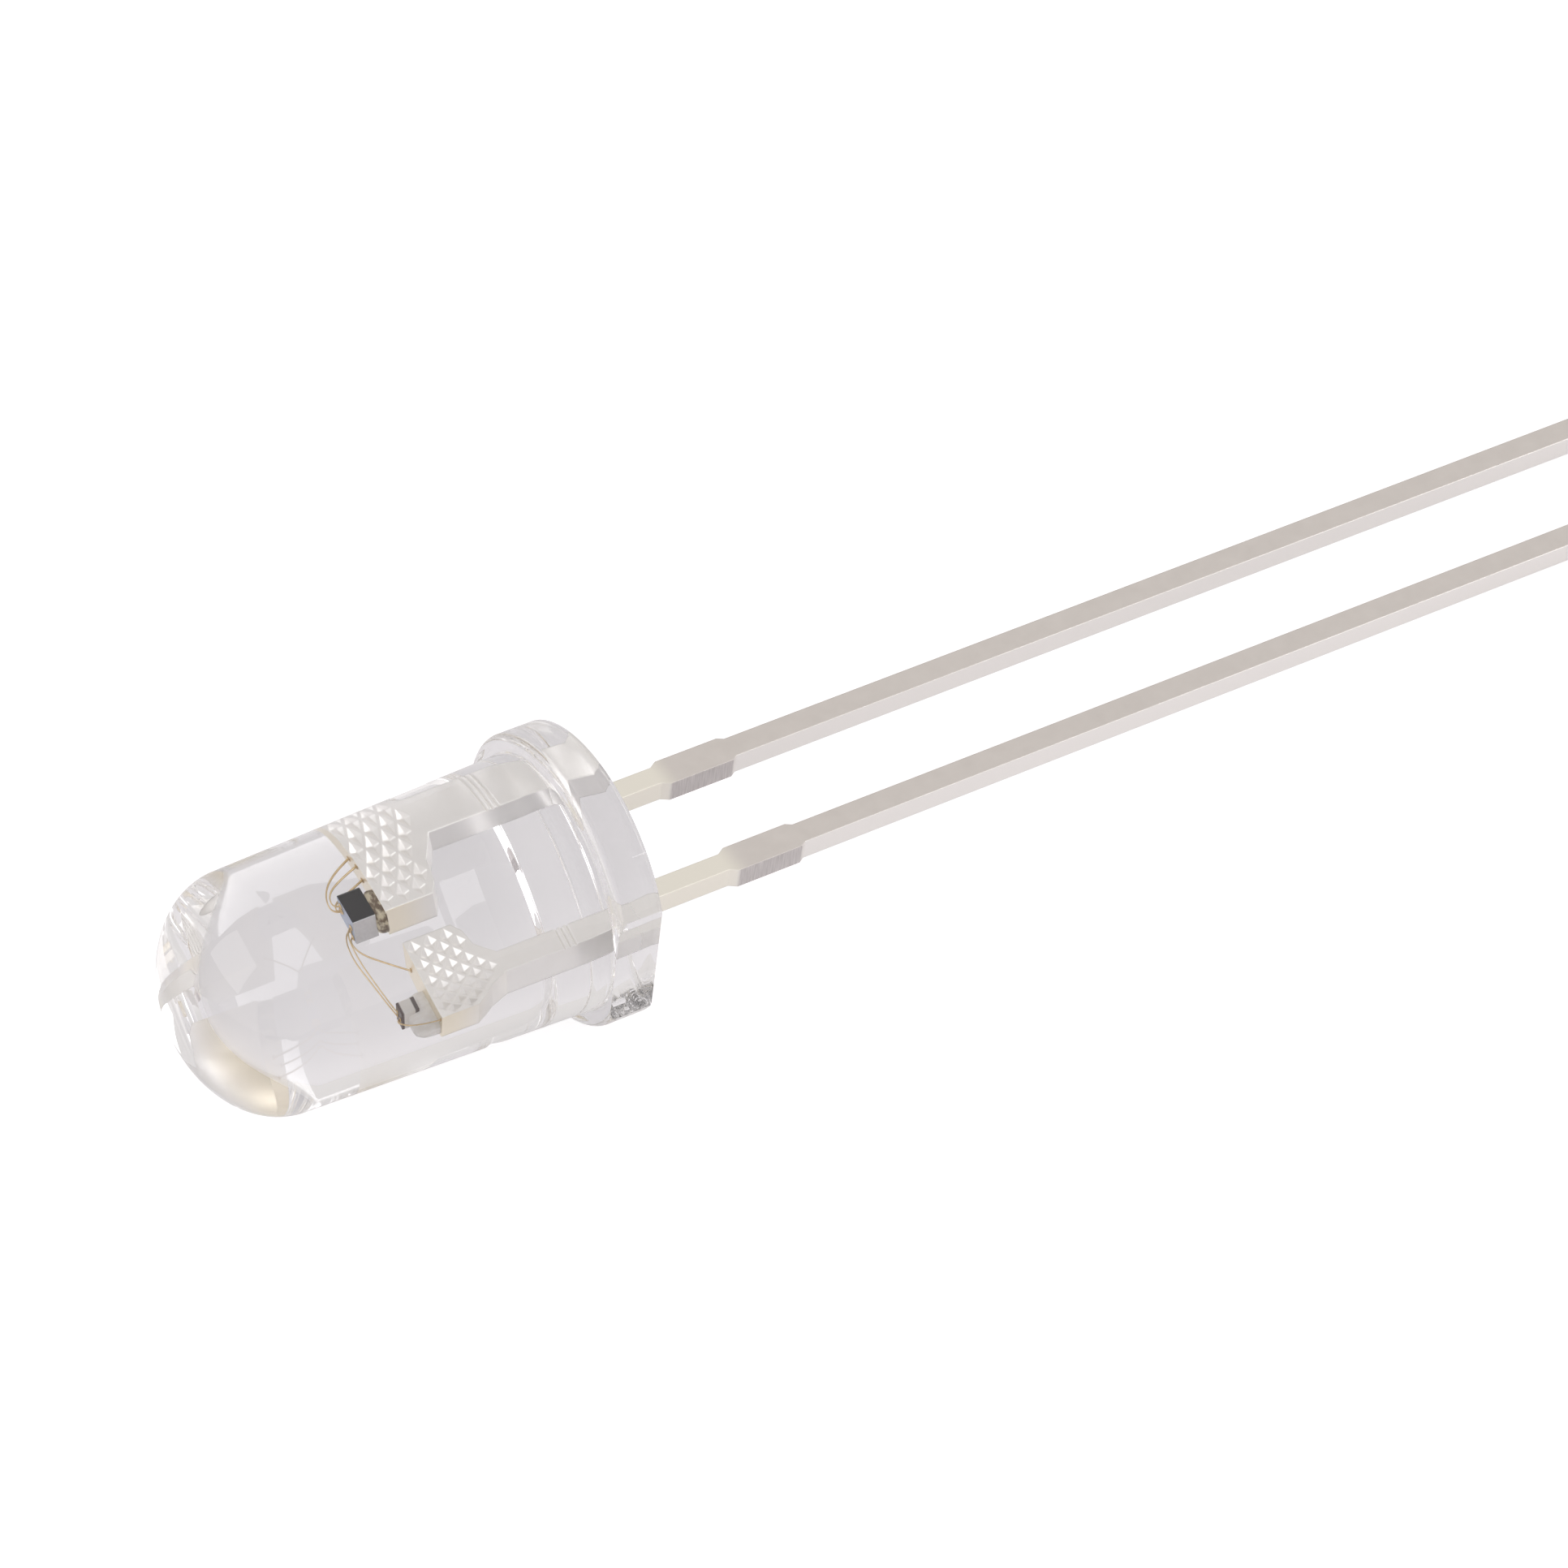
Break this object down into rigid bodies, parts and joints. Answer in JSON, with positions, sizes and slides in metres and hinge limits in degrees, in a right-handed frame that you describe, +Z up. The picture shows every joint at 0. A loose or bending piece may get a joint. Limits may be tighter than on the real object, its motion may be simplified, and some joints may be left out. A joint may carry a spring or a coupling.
{
  "type": "through hole led",
  "caption": "Clear round through-hole LED with a flanged epoxy lens, knurled lead flags, a controller chip and an emitter chip.",
  "frame": {"origin": "centre of the flange's back, on the lens axis", "axes": "+X runs level along the lamp towards the dome, +Y towards the cathode lead and the flat, +Z up as the lamp lies at rest on the flange's rim and the tips of both leads. The lens axis rises 5.9 degrees from +X."},
  "size_m": [0.0357, 0.0057, 0.006],
  "materials": {
    "clear_epoxy": "polished",
    "plated_sheet": "satin",
    "silicon": "satin",
    "dark_adhesive": "satin",
    "emitter_crystal": "satin",
    "grey_adhesive": "satin",
    "gold": "polished"
  },
  "bodies": {
    "root": {"epoxy_lens": "clear_epoxy", "anode_frame": "plated_sheet", "cathode_frame": "plated_sheet", "controller_chip": "silicon", "controller_adhesive": "dark_adhesive", "emitter_chip": "emitter_crystal", "emitter_adhesive": "grey_adhesive", "supply_wire_1": "gold", "supply_wire_2": "gold", "supply_wire_3": "gold", "drive_wire_1": "gold", "drive_wire_2": "gold", "ground_wire": "gold", "return_wire": "gold"}
  },
  "joints": []
}
